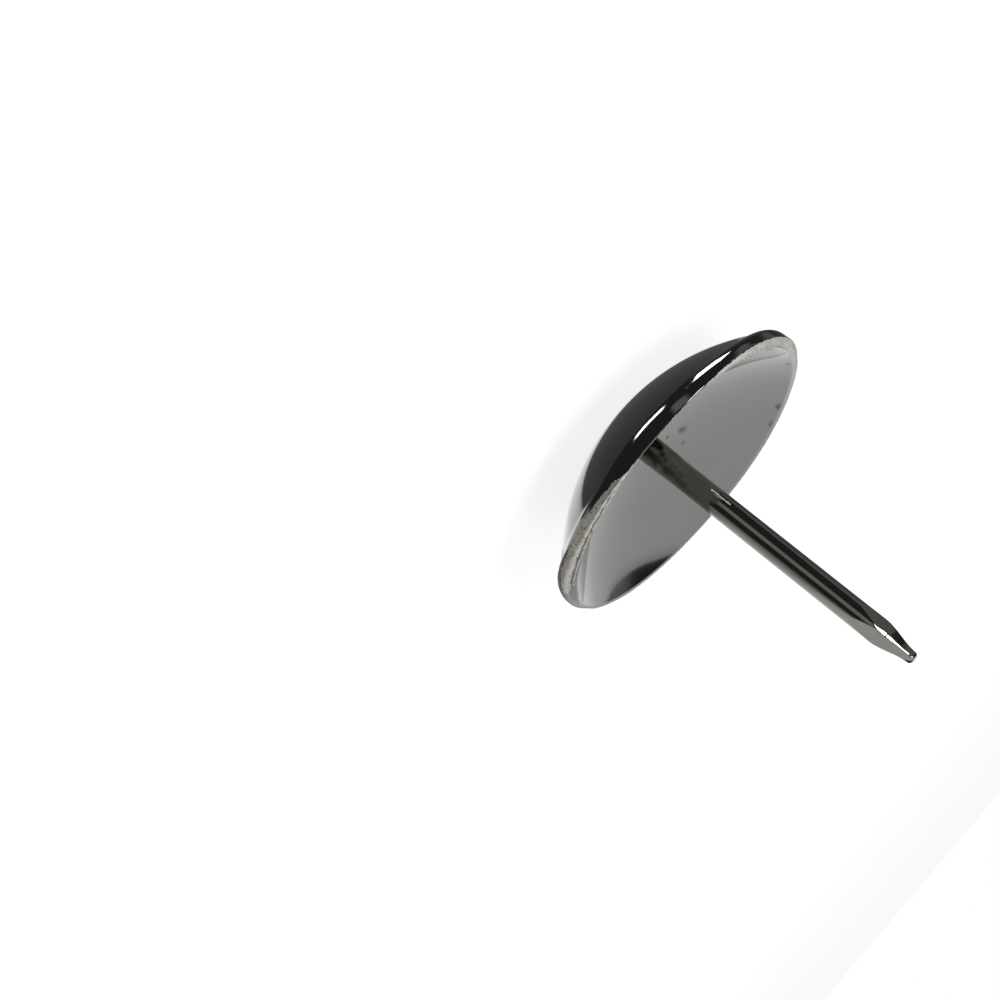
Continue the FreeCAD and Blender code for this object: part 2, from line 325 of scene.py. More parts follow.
def head_section(azimuth):
    """Section of the head at an azimuth: crown, dome, bead, wall, corner, burr, cut face and bowl."""
    sag, burr, face = (rim_value(table, azimuth) for table in (RIM_SAG, RIM_BURR, RIM_FACE))
    round_off = rim_value(CORNER_ROUND, azimuth)
    lean = math.radians(along(WALL_LEAN, math.degrees(azimuth), 360))
    dome_centre, dome_radius = dome_sphere()
    crease_height = CREASE_HEIGHT - sag
    crease_radius = math.sqrt(dome_radius ** 2 - (dome_centre - crease_height) ** 2)
    corner_height = HEAD_HEIGHT - round_off - sag + burr
    wall = (RIM_RADIUS - math.tan(lean) * (corner_height - WALL_START + sag), WALL_START - sag)
    outward = (math.cos(lean), -math.sin(lean))
    across, down = crease_radius - wall[0], crease_height - wall[1]
    bead = -(across ** 2 + down ** 2) / (2 * (across * outward[0] + down * outward[1]))
    bead_centre = (wall[0] - bead * outward[0], wall[1] - bead * outward[1])
    bead_start = math.degrees(math.atan2(crease_height - bead_centre[1], crease_radius - bead_centre[0]))
    corner = (RIM_RADIUS - round_off, corner_height)
    burr_foot = (corner[0] - BURR_BACK, HEAD_HEIGHT - sag)
    lip = (min(RIM_RADIUS - face, burr_foot[0] - 2 * LIP_ROUND), HEAD_HEIGHT)
    bowl_depth = HEAD_HEIGHT - CROWN_SHEET
    bowl = (lip[0] ** 2 + bowl_depth ** 2) / (2 * bowl_depth)

    section = [(CROWN_FLAT * CROWN_START, 0.0)]
    section += run(section[-1], (CROWN_FLAT, 0.0), CROWN_ROWS)
    section += arc((0, dome_centre), dome_radius, slope_at(CROWN_FLAT, dome_radius),
                   slope_at(crease_radius, dome_radius), DOME_ROWS)
    section += arc(bead_centre, bead, bead_start, -math.degrees(lean), BEAD_ROWS)
    section += run(section[-1], (RIM_RADIUS, corner_height), WALL_ROWS)
    section += arc(corner, round_off, 0, 90, CORNER_ROWS)
    section += run(section[-1], burr_foot, BURR_ROWS)
    section += run(section[-1], (lip[0] + LIP_ROUND, lip[1] - LIP_DROP), FACE_ROWS)
    bowl_centre = (0, CROWN_SHEET + bowl)
    start = slope_at(lip[0], bowl)
    for inside in UNDER_LIP:
        end = slope_at(lip[0] - inside * MM, bowl)
        section += arc(bowl_centre, bowl, start, end, 1)
    section += arc(bowl_centre, bowl, end, BOWL_END, BOWL_ROWS - len(UNDER_LIP))
    return section


def rim_row(place):
    """The row, with its fraction, of a place on the rim counted 0 to 3 from crease to lip."""
    rows = (CREASE_ROW, WALL_ROW, FACE_ROW, LIP_ROW)
    return along(tuple(enumerate(rows)), place)


def section_travel(section):
    """Distance of each row along the section, and its outward normal."""
    travel = [0.0]
    for (r0, z0), (r1, z1) in zip(section, section[1:]):
        travel.append(travel[-1] + math.hypot(r1 - r0, z1 - z0))
    normals = []
    for row in range(len(section)):
        r0, z0 = section[max(row - 1, 0)]
        r1, z1 = section[min(row + 1, len(section) - 1)]
        length = math.hypot(r1 - r0, z1 - z0)
        normals.append(((z1 - z0) / length, (r0 - r1) / length))
    return travel, normals


def travel_to(travel, row):
    """Distance along the section to a row with a fraction."""
    whole = min(int(row), len(travel) - 2)
    return travel[whole] + (travel[whole + 1] - travel[whole]) * (row - whole)


def ragged(place, grain):
    """Noise from about -1 to 1 that is broken up like torn metal."""
    return noise.noise(place / grain) + 0.5 * noise.noise(place / grain * 2.7)


def wear_at(travel, azimuth):
    """The wear of one column: three distances along the section, the groove's share and the burr's nicks."""
    degrees = math.degrees(azimuth)
    places = (along(TORN_START, degrees, 360), along(TORN_END, degrees, 360), GROOVE_PLACE)
    torn_start, torn_end, groove_middle = (travel_to(travel, rim_row(place)) for place in places)
    groove_share = along(GROOVE_SPAN, degrees, 360)
    return torn_start, torn_end, groove_middle, groove_share, rim_value(BURR_RAGGED, azimuth)


def worn_point(place, row, normal, distance, outward, wear):
    """A point of the rim after the wear, its distance past the tear line and its share of the groove."""
    torn_start, torn_end, groove_middle, groove_share, burr_ragged = wear
    wander = RAGGED_REACH * ragged(place, RAGGED_GRAIN)
    reach = min(distance - torn_start + wander, torn_end - distance + wander)
    off_groove = (distance - groove_middle + GROOVE_WANDER * wander) / GROOVE_WIDTH
    groove = groove_share * math.exp(-off_groove ** 2) * (0.75 + 0.5 * noise.noise(place / RAGGED_GRAIN))
    grain = 0.5 + 0.5 * noise.noise(place / TORN_GRAIN)
    fade = 1 - smooth_step(-3, 0, row - LIP_ROW)
    sink = TORN_DEPTH * (0.4 + grain) * smooth_step(0, TORN_STEP, reach) + GROOVE_DEPTH * groove
    crest = math.exp(-((row - NICK_ROW) / NICK_REACH) ** 2)
    nick = min(burr_ragged * ragged(outward * RIM_RADIUS, BURR_GRAIN), NICK_MOST) * crest
    return place - normal * sink * fade + UP * nick, reach, groove


def head_points():
    """Points of the head's skin, column by column, with their distance past the tear line and the groove."""
    vertices, torn_at, groove_at = [], [], []
    for column in range(HEAD_COLUMNS):
        azimuth = 2 * math.pi * column / HEAD_COLUMNS
        outward = Vector((math.cos(azimuth), math.sin(azimuth), 0))
        section = head_section(azimuth)
        travel, normals = section_travel(section)
        wear = wear_at(travel, azimuth)
        for row, (radius, height) in enumerate(section):
            place = outward * radius + UP * height
            reach, groove = PLATED, 0.0
            if CREASE_ROW <= row <= LIP_ROW + 1:
                normal = outward * normals[row][0] + UP * normals[row][1]
                place, reach, groove = worn_point(place, row, normal, travel[row], outward, wear)
            vertices.append(place)
            torn_at.append(reach / MM)
            groove_at.append(groove)
    vertices += [Vector((0, 0, 0)), Vector((0, 0, CROWN_SHEET))]
    torn_at += [PLATED / MM] * 2
    groove_at += [0.0] * 2
    return vertices, torn_at, groove_at


def make_head():
    """The head as one turned skin, plated bright outside and duller in the bowl."""
    vertices, torn_at, groove_at = head_points()
    head = make_piece("stamped_head", vertices, ring_faces(HEAD_COLUMNS, SECTION_ROWS))
    set_attribute(head, "torn", torn_at)
    set_attribute(head, "groove", groove_at)
    head.data.materials.append(bright_nickel())
    head.data.materials.append(bowl_nickel())
    skin_points = HEAD_COLUMNS * SECTION_ROWS
    slots = [1 if max(v % SECTION_ROWS for v in polygon.vertices if v < skin_points) > LIP_ROW + 1 else 0
             for polygon in head.data.polygons]
    head.data.polygons.foreach_set("material_index", slots)
    return head


# The nail

def nail_radius(height):
    """Radius of the round wire at a height: weld flare, root, taper and wire."""
    if height < WELD_THROAT:
        drop = WELD_THROAT - height
        spread, fall = WELD_RADIUS - ROOT_RADIUS, WELD_THROAT - nail_low.z
        flare = (spread ** 2 + fall ** 2) / (2 * spread)
        return ROOT_RADIUS + flare - math.sqrt(max(flare ** 2 - drop ** 2, 0))
    if height < ROOT_TOP:
        share = (height - WELD_THROAT) / (ROOT_TOP - WELD_THROAT)
        return ROOT_RADIUS + (GRIP_RADIUS - ROOT_RADIUS) * share
    return GRIP_RADIUS + (WIRE_RADIUS - GRIP_RADIUS) * smooth_step(0, ROOT_TAPER, height - ROOT_TOP)


def facet_reach(distance, angle, height):
    """Distance from the axis to the facets in a direction, with the ridges between them rounded."""
    facets = [math.cos(angle - math.radians(45 + 90 * k)) for k in range(4)]
    wave = RUBBED_WAVE * noise.noise(Vector((0, 0, height / RUBBED_GRAIN)))
    facets.append(math.cos(angle - RUBBED_SIDE) / (along(RUBBED_SHARE, height / MM) + wave))
    total = sum(max(c, 0) ** RIDGE_SHARPNESS for c in facets) ** (1 / RIDGE_SHARPNESS)
    return distance / total


def scrape_and_highlight(angle, height):
    """How deep a place lies in the jaws' raised line, from 0 to about 1. The same share masks the line's
    painted highlight.
    """
    inside = smooth_step(SCRAPE_LOW, SCRAPE_LOW + SCRAPE_RISE, height)
    inside *= 1 - smooth_step(SCRAPE_HIGH - SCRAPE_FALL, SCRAPE_HIGH, height)
    wander = noise.noise(Vector((3, 0, height / SCRAPE_BEND))) * SCRAPE_WANDER
    off_line = ((angle - SCRAPE_LINE) * WIRE_RADIUS + wander) / SCRAPE_HALF_WIDTH
    broken = 0.85 + 0.6 * noise.noise(Vector((0, 5, height / SCRAPE_GRAIN)))
    return inside * broken * math.exp(-off_line ** 2)


def soft_least(first, second, round_off):
    """The lesser of two lengths, with the corner between them rounded."""
    gap = max(round_off - abs(first - second), 0) / round_off
    return min(first, second) - gap * gap * round_off / 4


def nail_stations():
    """Heights of the nail's rows, closer together where it changes."""
    stops = (nail_low.z, WELD_THROAT, ROOT_TOP, ROOT_TOP + ROOT_TAPER, SCRAPE_LOW, SCRAPE_HIGH, POINT_START,
             TIP_HEIGHT - NUB_RADIUS)
    heights = []
    for low, high, rows in zip(stops, stops[1:], NAIL_ROWS):
        heights += [low + (high - low) * k / rows for k in range(rows)]
    return heights + [stops[-1]]


def nail_reach(angle, height):
    """Distance of the nail's skin from its axis."""
    radius = nail_radius(height)
    if height <= POINT_START:
        return radius + SCRAPE_HEIGHT * scrape_and_highlight(angle, height)
    distance = along(FACETS, height / MM) * MM
    return soft_least(radius, facet_reach(distance, angle, height), FACET_ROUND)


def make_nail():
    """The wire nail with its welded foot, root, the jaws' raised line and pinched point with a rounded nub.
    The line's share is kept for its painted highlight.
    """
    heights = nail_stations()
    vertices, scrape_highlight_mask = [], []
    for column in range(NAIL_COLUMNS):
        angle = 2 * math.pi * column / NAIL_COLUMNS
        outward = Vector((math.cos(angle), math.sin(angle), 0))
        for height in heights:
            vertices.append(outward * nail_reach(angle, height) + UP * height)
            scrape_highlight_mask.append(scrape_and_highlight(angle, height))
        nub_start = heights[-1]
        for step in range(1, NUB_ROWS):
            turn = math.pi / 2 * step / NUB_ROWS
            height = nub_start + NUB_RADIUS * math.sin(turn)
            vertices.append(outward * nail_reach(angle, nub_start) * math.cos(turn) + UP * height)
            scrape_highlight_mask.append(0.0)
    vertices += [UP * heights[0], UP * TIP_HEIGHT]
    scrape_highlight_mask += [0.0] * 2
    nail = make_piece("wire_nail", vertices, ring_faces(NAIL_COLUMNS, len(heights) + NUB_ROWS - 1))
    set_attribute(nail, "scrape_highlight_mask", scrape_highlight_mask)
    nail.data.materials.append(wire_nickel())
    return nail


# Node helpers and shared effects

def add(tree, kind, inputs=None, **settings):
    """A node with its settings, and with its inputs set to values or linked to sockets."""
    node = tree.nodes.new("ShaderNode" + kind)
    for key, value in settings.items():
        setattr(node, key, value)
    for key, value in (inputs or {}).items():
        if isinstance(value, bpy.types.NodeSocket):
            tree.links.new(value, node.inputs[key])
        else:
            node.inputs[key].default_value = value
    return node


def maths(tree, operation, first, second=0.0, clamp=False):
    """The result of one sum on two values or sockets."""
    return add(tree, "Math", {0: first, 1: second}, operation=operation, use_clamp=clamp).outputs[0]


def ramp(tree, value, low, high, start=0.0, end=1.0):
    """A value eased from start to end as it goes from low to high."""
    inputs = {"Value": value, "From Min": low, "From Max": high, "To Min": start, "To Max": end}
    return add(tree, "MapRange", inputs, interpolation_type="SMOOTHSTEP").outputs["Result"]


def blend_colour(tree, share, first, second):
    """Two colours mixed by a mask."""
    node = add(tree, "Mix", {"Factor": share}, data_type="RGBA")
    for socket, value in ((node.inputs[6], first), (node.inputs[7], second)):
        if isinstance(value, bpy.types.NodeSocket):
            tree.links.new(value, socket)
        else:
            socket.default_value = value
    return node.outputs[2]


def noise_value(tree, size, detail=2.0, stretch=(1, 1, 1), offset=(0, 0, 0)):
    """Noise in the piece's own space whose grains have that size in metres."""
    place = add(tree, "TexCoord").outputs["Object"]
    moved = add(tree, "Mapping", {"Vector": place, "Scale": stretch, "Location": offset}).outputs[0]
    return add(tree, "TexNoise", {"Vector": moved, "Scale": 1 / size, "Detail": detail}).outputs["Fac"]


def new_group(name, inputs, outputs):
    """An empty node group with named sockets. A socket is (name, kind, value)."""
    tree = bpy.data.node_groups.new(name, "ShaderNodeTree")
    for socket, kind, value in inputs:
        made = tree.interface.new_socket(socket, in_out="INPUT", socket_type="NodeSocket" + kind)
        made.default_value = value
    for socket, kind in outputs:
        tree.interface.new_socket(socket, in_out="OUTPUT", socket_type="NodeSocket" + kind)
    start = tree.nodes.new("NodeGroupInput")
    end = tree.nodes.new("NodeGroupOutput")
    return tree, start.outputs, end.inputs


def use_group(tree, group, inputs=None):
    """A group placed in a material with its own values."""
    node = tree.nodes.new("ShaderNodeGroup")
    node.node_tree = group
    for key, value in (inputs or {}).items():
        if isinstance(value, bpy.types.NodeSocket):
            tree.links.new(value, node.inputs[key])
        else:
            node.inputs[key].default_value = value
    return node.outputs


def orange_peel_group():
    """The slow waves and the fine bloom of plated sheet, as a height in metres."""
    tree, given, result = new_group(
        "Orange peel", [("Waves", "Float", 1.0), ("Bloom", "Float", 1.0)], [("Height", "Float")])
    waves = maths(tree, "MULTIPLY", noise_value(tree, 1.6 * MM, 1.0), given["Waves"])
    bloom = maths(tree, "MULTIPLY", noise_value(tree, 0.16 * MM, 2.0), given["Bloom"])
    tree.links.new(maths(tree, "ADD", waves, bloom), result["Height"])
    return tree


def haze_group():
    """Uneven gloss from handling: broad cloudy patches and small dull flecks."""
    tree, given, result = new_group("Handling haze", [("Flecks", "Float", 0.5)], [("Mask", "Float")])
    cloud = ramp(tree, noise_value(tree, 3.2 * MM, 4.0), 0.42, 0.72)
    fleck = ramp(tree, noise_value(tree, 0.22 * MM, 3.0), 0.62, 0.74)
    tree.links.new(maths(tree, "ADD", maths(tree, "MULTIPLY", cloud, 0.5),
                         maths(tree, "MULTIPLY", fleck, given["Flecks"]), clamp=True), result["Mask"])
    return tree


def ragged_group():
    """Turns the distance past the tear line into a mask with a ragged edge."""
    tree, given, result = new_group(
        "Ragged tear", [("Distance", "Float", 0.0), ("Ragged", "Float", 0.05)], [("Mask", "Float")])
    teeth = maths(tree, "SUBTRACT", noise_value(tree, 0.11 * MM, 3.0), 0.5)
    shifted = maths(tree, "ADD", given["Distance"], maths(tree, "MULTIPLY", teeth, given["Ragged"]))
    tree.links.new(ramp(tree, shifted, 0.0, 0.03), result["Mask"])
    return tree


def torn_steel_group():
    """Broken steel of the sheared edge: light grey and tan grains with dark and golden specks."""
    tree, given, result = new_group(
        "Torn steel", [("Light", "Color", STEEL_LIGHT), ("Dark", "Color", STEEL_DARK)],
        [("Color", "Color"), ("Roughness", "Float"), ("Height", "Float")])
    grain = noise_value(tree, 0.13 * MM, 3.0)
    patch = noise_value(tree, 0.55 * MM, 3.0, offset=(3, 1, 2))
    base = blend_colour(tree, ramp(tree, grain, 0.3, 0.52), given["Dark"], given["Light"])
    tan = blend_colour(tree, ramp(tree, patch, 0.48, 0.68, 0.0, 0.6), base, STEEL_TAN)
    rose = noise_value(tree, 0.2 * MM, 2.0, offset=(7, 5, 1))
    tinted = blend_colour(tree, ramp(tree, rose, 0.62, 0.7, 0.0, 0.55), tan, STEEL_ROSE)
    tree.links.new(tinted, result["Color"])
    tree.links.new(ramp(tree, grain, 0.3, 0.7, 0.6, 0.42), result["Roughness"])
    tree.links.new(maths(tree, "MULTIPLY", grain, 0.02 * MM), result["Height"])
    return tree


def spot_group():
    """A soft spot round a place, broken up at its edge."""
    tree, given, result = new_group(
        "Soft spot", [("Place", "Vector", (0, 0, 0)), ("Radius", "Float", 0.3 * MM)], [("Mask", "Float")])
    place = add(tree, "TexCoord").outputs["Object"]
    gap = add(tree, "VectorMath", {0: place, 1: given["Place"]}, operation="DISTANCE").outputs["Value"]
    share = maths(tree, "DIVIDE", gap, given["Radius"])
    uneven = maths(tree, "MULTIPLY", maths(tree, "SUBTRACT", noise_value(tree, 0.3 * MM, 2.0), 0.5), 0.9)
    tree.links.new(ramp(tree, maths(tree, "ADD", share, uneven), 1.15, 0.1), result["Mask"])
    return tree


def drawn_lines_group():
    """Faint lengthwise lines that the drawing die leaves on wire, as a height in metres."""
    tree, given, result = new_group("Drawn lines", [("Depth", "Float", 1.0)], [("Height", "Float")])
    lines = noise_value(tree, 0.12 * MM, 2.0, stretch=(1, 1, 0.02))
    tree.links.new(maths(tree, "MULTIPLY", lines, given["Depth"]), result["Height"])
    return tree


def new_material(name):
    """A material with only its output and a Principled shader."""
    material = bpy.data.materials.new(name)
    material.use_nodes = True
    tree = material.node_tree
    return material, tree, tree.nodes["Principled BSDF"].inputs


def lacquer(shader):
    """The clear coat that such nails are dipped in."""
    shader["Coat Weight"].default_value = 1.0
    shader["Coat Roughness"].default_value = 0.04


def set_bump(tree, shader, height):
    """Feeds a height in metres to the shader's normal."""
    tree.links.new(add(tree, "Bump", {"Height": height, "Distance": 1.0}).outputs[0], shader["Normal"])


def marks(tree, places):
    """One mask for a list of spots, each a place and a radius in millimetres."""
    mask = 0.0
    for place, radius in places:
        values = {"Place": [c * MM for c in place], "Radius": radius * MM}
        mask = maths(tree, "MAXIMUM", mask, use_group(tree, groups["spot"], values)["Mask"])
    return mask


# Finishes

def bright_nickel():
    """Mirror-bright black nickel outside, broken off to unplated steel along the sheared edge."""
    material, tree, shader = new_material("bright_black_nickel")
    distance = add(tree, "Attribute", attribute_name="torn").outputs["Fac"]
    torn = use_group(tree, groups["ragged"], {"Distance": distance, "Ragged": 0.09})["Mask"]
    steel = use_group(tree, groups["torn_steel"])
    haze = use_group(tree, groups["haze"], {"Flecks": 0.5})["Mask"]
    peel = use_group(tree, groups["peel"], {"Waves": 0.0022 * MM, "Bloom": 0.00012 * MM})["Height"]
    plate = blend_colour(tree, haze, BLACK_NICKEL, BLACK_NICKEL_HAZED)
    groove = add(tree, "Attribute", attribute_name="groove").outputs["Fac"]
    # The colour is darker along the groove
    groove_darkening = ramp(tree, groove, 0.1, 0.55, 0.0, 0.95)
    metal = blend_colour(tree, torn, plate, steel["Color"])
    tree.links.new(blend_colour(tree, groove_darkening, metal, GROOVE_DARK), shader["Base Color"])
    gloss = ramp(tree, haze, 0.0, 1.0, 0.06, 0.11)
    rough = add(tree, "Mix", {"Factor": torn, 2: gloss, 3: steel["Roughness"]}, data_type="FLOAT").outputs[0]
    tree.links.new(rough, shader["Roughness"])
    tree.links.new(ramp(tree, torn, 0.0, 1.0, 1.0, 0.55), shader["Metallic"])
    height = maths(tree, "ADD", peel, maths(tree, "MULTIPLY", steel["Height"], torn))
    set_bump(tree, shader, height)
    lacquer(shader)
    return material


def bowl_nickel():
    """Duller plating inside the bowl, with a few stains."""
    material, tree, shader = new_material("bowl_black_nickel")
    haze = use_group(tree, groups["haze"], {"Flecks": 0.7})["Mask"]
    plate = blend_colour(tree, haze, BOWL_PLATING, BOWL_PLATING_HAZED)
    stained = blend_colour(tree, marks(tree, BOWL_STAINS), plate, BOWL_STAIN)
    tree.links.new(stained, shader["Base Color"])
    tree.links.new(ramp(tree, haze, 0.0, 1.0, 0.09, 0.15), shader["Roughness"])
    shader["Metallic"].default_value = 1.0
    peel = use_group(tree, groups["peel"], {"Waves": 0.003 * MM, "Bloom": 0.0002 * MM})["Height"]
    set_bump(tree, shader, peel)
    lacquer(shader)
    return material


def wire_nickel():
    """Black nickel on drawn wire: faint lengthwise lines, a painted highlight along the jaws' raised line,
    and at the root darker mottling, dark marks and a spot of painted highlight.
    """
    material, tree, shader = new_material("wire_black_nickel")
    haze = use_group(tree, groups["haze"], {"Flecks": 0.4})["Mask"]
    height = add(tree, "SeparateXYZ", {0: add(tree, "TexCoord").outputs["Object"]}).outputs["Z"]
    # Darker mottling near the root that fades out up the wire
    near_root = ramp(tree, height, CLOUD_LOW, CLOUD_HIGH, 1.0, 0.0)
    cloud = ramp(tree, noise_value(tree, 0.5 * MM, 4.0, stretch=(1, 1, 0.55)), 0.4, 0.62)
    mottle = maths(tree, "MULTIPLY", cloud, near_root)
    plate = blend_colour(tree, haze, WIRE_PLATING, WIRE_PLATING_HAZED)
    cloudy = blend_colour(tree, mottle, plate, ROOT_CLOUD)
    # Painted highlight: a light spot on the root
    root_highlit = blend_colour(tree, marks(tree, ROOT_HIGHLIGHT_SPOTS), cloudy, ROOT_HIGHLIGHT)
    # Dark marks on the root
    darkened = blend_colour(tree, marks(tree, ROOT_DARK_MARKS), root_highlit, ROOT_DARK_MARK)
    # Painted highlight: the colour turns light along the jaws' raised line
    painted_highlight = ramp(tree, add(tree, "Attribute", attribute_name="scrape_highlight_mask").outputs["Fac"], 0.25, 0.6)
    tree.links.new(blend_colour(tree, painted_highlight, darkened, SCRAPE_HIGHLIGHT), shader["Base Color"])
    gloss = maths(tree, "ADD", ramp(tree, haze, 0.0, 1.0, 0.07, 0.13), maths(tree, "MULTIPLY", painted_highlight, 0.4))
    dull = maths(tree, "MULTIPLY", near_root, ramp(tree, cloud, 0.0, 1.0, 0.14, 0.26))
    tree.links.new(maths(tree, "ADD", gloss, dull), shader["Roughness"])
    tree.links.new(ramp(tree, painted_highlight, 0.0, 1.0, 1.0, 0.4), shader["Metallic"])
    lines = use_group(tree, groups["lines"], {"Depth": 0.0005 * MM})["Height"]
    peel = use_group(tree, groups["peel"], {"Waves": 0.0012 * MM, "Bloom": 0.00015 * MM})["Height"]
    set_bump(tree, shader, maths(tree, "ADD", lines, peel))
    lacquer(shader)
    return material


# Studio

def seen_directly(tree):
    """1 for camera, glossy and transmission rays, 0 for the rays that carry light between surfaces."""
    path = add(tree, "LightPath").outputs
    return maths(tree, "MAXIMUM", path["Is Camera Ray"],
                 maths(tree, "MAXIMUM", path["Is Glossy Ray"], path["Is Transmission Ray"]))


def white_world():
    """White to the eye, soft grey light on what is diffuse."""
    world = bpy.data.worlds.new("white_studio")
    world.use_nodes = True
    tree = world.node_tree
    tree.nodes.clear()
    light = add(tree, "Background", {"Color": WHITE, "Strength": WORLD_LIGHT}).outputs[0]
    white = add(tree, "Background", {"Color": WHITE, "Strength": 1.0}).outputs[0]
    mixed = add(tree, "MixShader", {0: seen_directly(tree), 1: light, 2: white}).outputs[0]
    add(tree, "OutputWorld", {"Surface": mixed})
    bpy.context.scene.world = world


def floor_paper():
    """White paper that shows the object's soft shadow."""
    material, tree, shader = new_material("floor_paper")
    shader["Base Color"].default_value = (0.8, 0.8, 0.8, 1)
    shader["Roughness"].default_value = 0.9
    shade = add(tree, "BsdfDiffuse", {"Color": (0.3, 0.3, 0.3, 1)}).outputs[0]
    glow = add(tree, "Emission", {"Color": WHITE, "Strength": FLOOR_GLOW}).outputs[0]
    lit = add(tree, "AddShader", {0: shade, 1: glow}).outputs[0]
    plain = tree.nodes["Principled BSDF"].outputs[0]
    mixed = add(tree, "MixShader", {0: seen_directly(tree), 1: plain, 2: lit}).outputs[0]
    tree.links.new(mixed, tree.nodes["Material Output"].inputs["Surface"])
    return material


def make_floor():
    """The floor that the crown of the head stands on."""
    corners = [(x * FLOOR_SIDE, y * FLOOR_SIDE, 0) for x, y in ((-1, -1), (1, -1), (1, 1), (-1, 1))]
    floor = make_piece("floor", corners, [(0, 1, 2, 3)])
    floor.data.materials.append(floor_paper())
    floor.visible_glossy = False


def sheet_axes():
    """Unit vectors of the sheet that the studio stands on: across, away from the camera and off it."""
    off = -Vector((math.cos(SHEET_TILT) * math.cos(SHEET_AZIMUTH),
                   math.cos(SHEET_TILT) * math.sin(SHEET_AZIMUTH), math.sin(SHEET_TILT)))
    right = camera_turn() @ Vector((1, 0, 0))
    across = (right - off * right.dot(off)).normalized()
    return across, off.cross(across), off


def glow_material(name, strength, edge):
    """A glowing card that fades over its edge, where edge is the share of its half side that fades."""
    material = bpy.data.materials.new(name)
    material.use_nodes = True
    tree = material.node_tree
    tree.nodes.clear()
    place = add(tree, "TexCoord").outputs["Object"]
    split = add(tree, "SeparateXYZ", {0: place}).outputs
    glow = strength
    for axis in ("X", "Y"):
        away = maths(tree, "ABSOLUTE", split[axis])
        glow = maths(tree, "MULTIPLY", glow, ramp(tree, away, 1.0, 1.0 - edge))
    light = add(tree, "Emission", {"Color": WHITE, "Strength": glow}).outputs[0]
    clear = add(tree, "BsdfTransparent").outputs[0]
    solid = maths(tree, "DIVIDE", glow, strength)
    mixed = add(tree, "MixShader", {0: solid, 1: clear, 2: light}).outputs[0]
    add(tree, "OutputMaterial", {"Surface": mixed})
    return material


def only_in_reflections(piece):
    """Studio pieces that the metal mirrors, which light nothing and hide nothing."""
    piece.visible_camera = False
    piece.visible_diffuse = False
    piece.visible_transmission = False
    piece.visible_shadow = False


def make_card(name, place, half, strength, edge):
    """A card that faces the rim. Its place is across, away from and off the sheet, in millimetres."""
    across, away, off = sheet_axes()
    centre = RIM_CENTRE + (across * place[0] + away * place[1] + off * place[2]) * MM
    card = make_piece(name, [(-1, -1, 0), (1, -1, 0), (1, 1, 0), (-1, 1, 0)], [(0, 1, 2, 3)])
    facing = (RIM_CENTRE - centre).normalized()
    side = facing.cross(away).normalized()
    turn = Matrix((side, facing.cross(side), facing)).transposed().to_4x4()
    size = Matrix.Diagonal((half[0] * MM, half[1] * MM, 1, 1))
    card.matrix_world = Matrix.Translation(centre) @ turn @ size
    card.data.materials.append(glow_material(name, strength, edge))
    only_in_reflections(card)


def sheet_material():
    """White paper: brightest round the object, dimmer with distance and in the head's own shade."""
    material = bpy.data.materials.new("studio_sheet")
    material.use_nodes = True
    tree = material.node_tree
    tree.nodes.clear()
    place = add(tree, "TexCoord").outputs["Object"]
    split = add(tree, "SeparateXYZ", {0: place}).outputs
    gap = add(tree, "VectorMath", {0: place}, operation="LENGTH").outputs["Value"]
    near = ramp(tree, gap, HALO_START, HALO_END, HALO_LEVEL, 0.0)
    far = ramp(tree, gap, FADE_START, FADE_END, NEAR_LEVEL, FAR_LEVEL)
    right_edge = ramp(tree, split["X"], SHEET_RIGHT - SHEET_EDGE, SHEET_RIGHT, 1.0, 0.0)
    slant = maths(tree, "MULTIPLY", maths(tree, "MAXIMUM", split["X"], 0.0), EDGE_SLANT)
    near_line = maths(tree, "ADD", split["Y"], slant)
    near_edge = ramp(tree, near_line, SHEET_NEAR, SHEET_NEAR + SHEET_EDGE, 0.0, 1.0)
    inside = maths(tree, "MULTIPLY", right_edge, near_edge)
    shade_inputs = {"Vector": place, "Location": SHADE_PLACE, "Scale": SHADE_SIZE}
    shade_place = add(tree, "Mapping", shade_inputs, vector_type="TEXTURE").outputs[0]
    depth = add(tree, "VectorMath", {0: shade_place}, operation="LENGTH").outputs["Value"]
    shade = ramp(tree, depth, SHADE_INSIDE, SHADE_OUTSIDE, SHADE_LEVEL, 1.0)
    glow = maths(tree, "MULTIPLY", maths(tree, "ADD", near, far), maths(tree, "MULTIPLY", inside, shade))
    light = add(tree, "Emission", {"Color": WHITE, "Strength": glow}).outputs[0]
    clear = add(tree, "BsdfTransparent").outputs[0]
    mixed = add(tree, "MixShader", {0: inside, 1: clear, 2: light}).outputs[0]
    add(tree, "OutputMaterial", {"Surface": mixed})
    return material


def make_sheet():
    """The white sheet that the metal mirrors, touching the point and the rim."""
    across, away, off = sheet_axes()
    foot = RIM_CENTRE - off * (TIP_HEIGHT - HEAD_HEIGHT) * math.sin(SHEET_TILT)
    slant_end = (SHEET_RIGHT, SHEET_NEAR - EDGE_SLANT * SHEET_RIGHT, 0)
    corners = [(-SHEET_LEFT, SHEET_NEAR, 0), (0, SHEET_NEAR, 0), slant_end,
               (SHEET_RIGHT, SHEET_FAR, 0), (-SHEET_LEFT, SHEET_FAR, 0)]
    sheet = make_piece("studio_sheet", corners, [(0, 1, 2, 3, 4)])
    turn = Matrix((across, away, off)).transposed().to_4x4()
    sheet.matrix_world = Matrix.Translation(foot - off * SHEET_GAP) @ turn
    sheet.data.materials.append(sheet_material())
    only_in_reflections(sheet)


